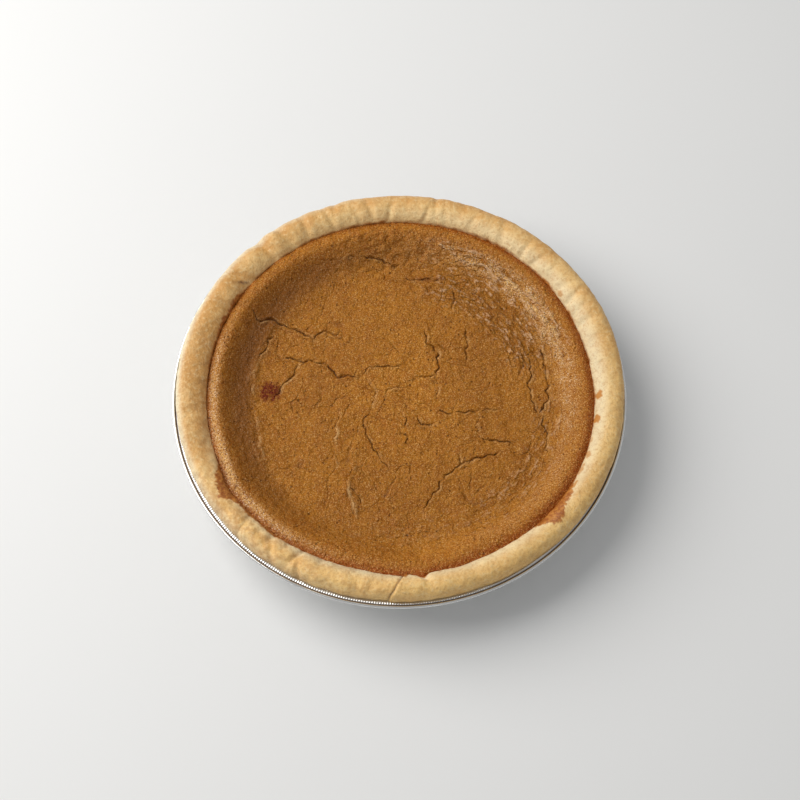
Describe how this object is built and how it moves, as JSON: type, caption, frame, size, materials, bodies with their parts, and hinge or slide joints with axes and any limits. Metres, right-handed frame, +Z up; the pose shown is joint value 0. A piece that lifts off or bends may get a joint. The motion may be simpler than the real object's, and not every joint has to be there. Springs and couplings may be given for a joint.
{
  "type": "pumpkin pie",
  "caption": "Whole pumpkin pie in a round foil tin, with a rolled pastry rim and a sunken, cracked custard filling.",
  "frame": {"origin": "centre of the tin's underside", "axes": "+Z up, away from the surface the tin stands on; +Y away from the side with the pastry's overlap; +X to the right of that side as one faces it"},
  "size_m": [0.244, 0.244, 0.0411],
  "materials": {
    "foil": "bright rolled foil",
    "pastry": "baked shortcrust, matt with a slight sheen",
    "custard": "baked pumpkin custard, satin"
  },
  "bodies": {
    "root": {"tin": "foil", "crust": "pastry", "filling": "custard"}
  },
  "joints": []
}
